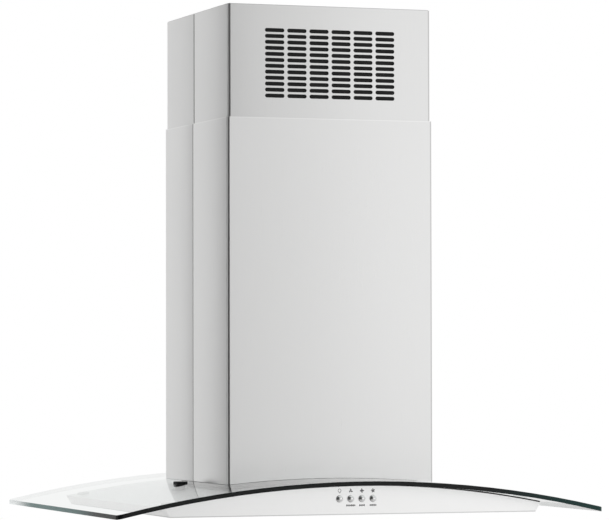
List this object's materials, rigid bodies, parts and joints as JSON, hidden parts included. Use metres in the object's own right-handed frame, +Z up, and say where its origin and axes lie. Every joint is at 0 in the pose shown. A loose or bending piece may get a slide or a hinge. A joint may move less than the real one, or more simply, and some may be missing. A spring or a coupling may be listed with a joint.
{
  "type": "island range hood",
  "caption": "Ceiling-hung cooker hood with a curved glass canopy over a thin steel filter body and a telescoping rectangular chimney.",
  "frame": {"origin": "centre of the ceiling plate's top face, where the hood meets the ceiling", "axes": "+X to the right of someone facing the buttons, +Y to the rear, +Z up into the ceiling"},
  "size_m": [0.9, 0.7, 0.9],
  "materials": {
    "stainless": "satin, finely brushed",
    "zinc_steel": "dull zinc coating",
    "fasteners": "bright steel",
    "black_steel": "matt black",
    "lamp_metal": "satin",
    "lamp_trim": "satin chrome",
    "frosted_lens": "frosted",
    "canopy_glass": "clear tempered, polished edge",
    "black_plastic": "satin",
    "latch_black": "satin",
    "grey_plastic": "moulded",
    "white_plastic": "smooth",
    "circuit_board": "varnished",
    "motor_paint": "satin",
    "rubber": "matt",
    "chrome": "polished",
    "aluminium": "satin",
    "mesh": "expanded mesh layers"
  },
  "bodies": {
    "ceiling_frame": {"ceiling_plate": "zinc_steel", "upper_chimney_front": "stainless", "upper_chimney_rear": "stainless", "upper_chimney_screws": "fasteners", "vent_screens": "black_steel", "upper_angles_left": "zinc_steel", "upper_angles_right": "zinc_steel"},
    "hood": {"blower_box": "zinc_steel", "blower_box_lid": "zinc_steel", "body_shell": "stainless", "button_spring_high": "fasteners", "button_spring_light": "fasteners", "button_spring_low": "fasteners", "button_spring_medium": "fasteners", "cable_gland": "black_plastic", "capacitor": "white_plastic", "chimney_clips": "zinc_steel", "duct_collar": "black_plastic", "electrical_box": "zinc_steel", "electrical_cover": "zinc_steel", "filter_keepers": "fasteners", "frame_braces": "zinc_steel", "frame_clamp_bolts": "fasteners", "front_fascia": "stainless", "glass_canopy": "canopy_glass", "glass_knobs": "black_plastic", "glass_seal": "rubber", "glass_spacers": "rubber", "lamp_bezels": "lamp_trim", "lamp_housings": "lamp_metal", "lamp_lenses": "frosted_lens", "lower_angles_left": "zinc_steel", "lower_angles_right": "zinc_steel", "lower_chimney_front": "stainless", "lower_chimney_rear": "stainless", "lower_chimney_screws": "fasteners", "motor": "motor_paint", "motor_bracket": "zinc_steel", "rear_fascia": "stainless", "scroll_left": "grey_plastic", "scroll_right": "grey_plastic", "switch_board": "circuit_board", "switch_housing": "black_plastic", "underside_panel": "stainless"},
    "damper_front": {"damper_flap_front": "black_plastic"},
    "damper_rear": {"damper_flap_rear": "black_plastic"},
    "impeller": {"fan_wheel": "grey_plastic", "motor_shaft": "fasteners"},
    "button_light": {"button_light": "chrome"},
    "button_low": {"button_low": "chrome"},
    "button_medium": {"button_medium": "chrome"},
    "button_high": {"button_high": "chrome"},
    "filter_left": {"filter_frame_left": "aluminium", "filter_mesh_left": "mesh", "latch_springs_left": "fasteners"},
    "latch_left": {"filter_latch_left": "latch_black"},
    "filter_right": {"filter_frame_right": "aluminium", "filter_mesh_right": "mesh", "latch_springs_right": "fasteners"},
    "latch_right": {"filter_latch_right": "latch_black"}
  },
  "joints": [
    {"name": "height_slide", "type": "slide", "parent": "ceiling_frame", "child": "hood", "axis": [0, 0, -1], "range_m": [-0.18, 0.18]},
    {"name": "damper_hinge_front", "type": "hinge", "parent": "hood", "child": "damper_front", "pos_m": [0, -0.0028, -0.53], "axis": [-1, 0, 0], "range_deg": [0, 75]},
    {"name": "damper_hinge_rear", "type": "hinge", "parent": "hood", "child": "damper_rear", "pos_m": [0, 0.0028, -0.53], "axis": [1, 0, 0], "range_deg": [0, 75]},
    {"name": "impeller_spin", "type": "hinge", "parent": "hood", "child": "impeller", "pos_m": [0, -0.0145, -0.712], "axis": [1, 0, 0], "continuous": true},
    {"name": "press_light", "type": "slide", "parent": "hood", "child": "button_light", "axis": [0, 1, 0], "range_m": [0, 0.0025], "stiffness_N_per_m": 500, "springref_m": -0.001, "deforming": ["button_spring_light"]},
    {"name": "press_low", "type": "slide", "parent": "hood", "child": "button_low", "axis": [0, 1, 0], "range_m": [0, 0.0025], "stiffness_N_per_m": 500, "springref_m": -0.001, "deforming": ["button_spring_low"]},
    {"name": "press_medium", "type": "slide", "parent": "hood", "child": "button_medium", "axis": [0, 1, 0], "range_m": [0, 0.0025], "stiffness_N_per_m": 500, "springref_m": -0.001, "deforming": ["button_spring_medium"]},
    {"name": "press_high", "type": "slide", "parent": "hood", "child": "button_high", "axis": [0, 1, 0], "range_m": [0, 0.0025], "stiffness_N_per_m": 500, "springref_m": -0.001, "deforming": ["button_spring_high"]},
    {"name": "filter_tilt_left", "type": "hinge", "parent": "hood", "child": "filter_left", "pos_m": [-0.134, 0.1907, -0.8969], "axis": [1, 0, 0], "range_deg": [0, 75], "deforming": ["filter_keepers"]},
    {"name": "latch_slide_left", "type": "slide", "parent": "filter_left", "child": "latch_left", "axis": [0, 1, 0], "range_m": [0, 0.005], "stiffness_N_per_m": 400, "springref_m": -0.001, "deforming": ["latch_springs_left"]},
    {"name": "filter_tilt_right", "type": "hinge", "parent": "hood", "child": "filter_right", "pos_m": [0.134, 0.1907, -0.8969], "axis": [1, 0, 0], "range_deg": [0, 75], "deforming": ["filter_keepers"]},
    {"name": "latch_slide_right", "type": "slide", "parent": "filter_right", "child": "latch_right", "axis": [0, 1, 0], "range_m": [0, 0.005], "stiffness_N_per_m": 400, "springref_m": -0.001, "deforming": ["latch_springs_right"]}
  ]
}
